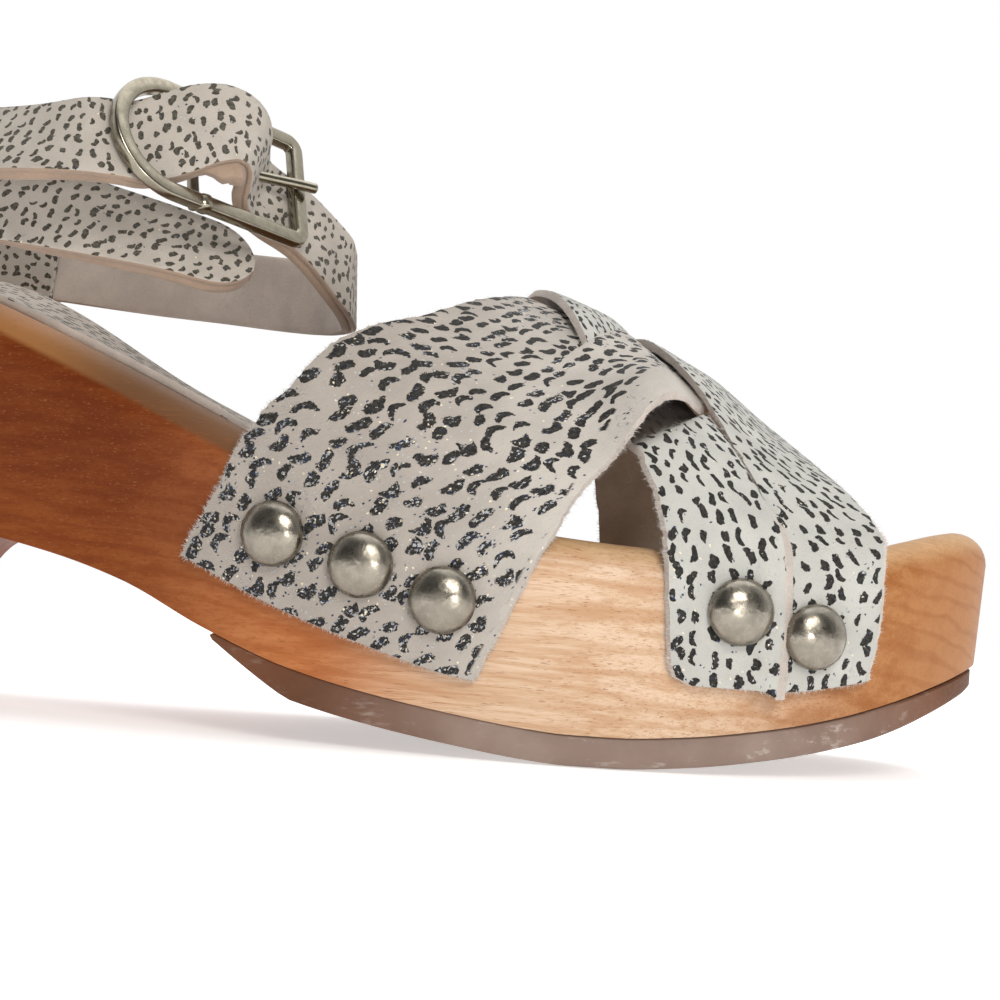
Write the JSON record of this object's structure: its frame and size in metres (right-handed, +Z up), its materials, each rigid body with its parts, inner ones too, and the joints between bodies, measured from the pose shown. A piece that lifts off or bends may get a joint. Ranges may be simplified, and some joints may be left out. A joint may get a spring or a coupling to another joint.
{
  "type": "wooden sole shoe",
  "caption": "High-heeled clog sandal for the right foot: carved wooden platform sole, spotted suede straps woven in a cross and nailed to its sides, buckled ankle strap.",
  "frame": {"origin": "on the floor under the middle of the shoe's box", "axes": "+X towards the toe, +Y towards the inner (medial) side of the right foot, +Z up"},
  "size_m": [0.257, 0.107, 0.1165],
  "materials": {
    "wood": "oiled satin",
    "rubber": "matt, scuffed",
    "suede": "napped, printed with dark spots and foil flecks",
    "sock_leather": "napped",
    "stud_metal": "polished pale gold"
  },
  "bodies": {
    "root": {"sole_wood": "wood", "outsole_forefoot": "rubber", "heel_lift": "rubber", "insole_sock": "sock_leather", "upper": "suede", "ankle_strap": "suede", "strap_loop_lateral": "suede", "strap_loop_medial": "suede", "buckle_frame": "stud_metal", "buckle_prong": "stud_metal", "stud_lateral_rear_1": "stud_metal", "stud_lateral_rear_2": "stud_metal", "stud_lateral_rear_3": "stud_metal", "stud_lateral_front_1": "stud_metal", "stud_lateral_front_2": "stud_metal", "stud_medial_rear_1": "stud_metal", "stud_medial_rear_2": "stud_metal", "stud_medial_rear_3": "stud_metal", "stud_medial_front_1": "stud_metal", "stud_medial_front_2": "stud_metal", "stud_loop_lateral": "stud_metal", "stud_loop_medial": "stud_metal"}
  },
  "joints": []
}
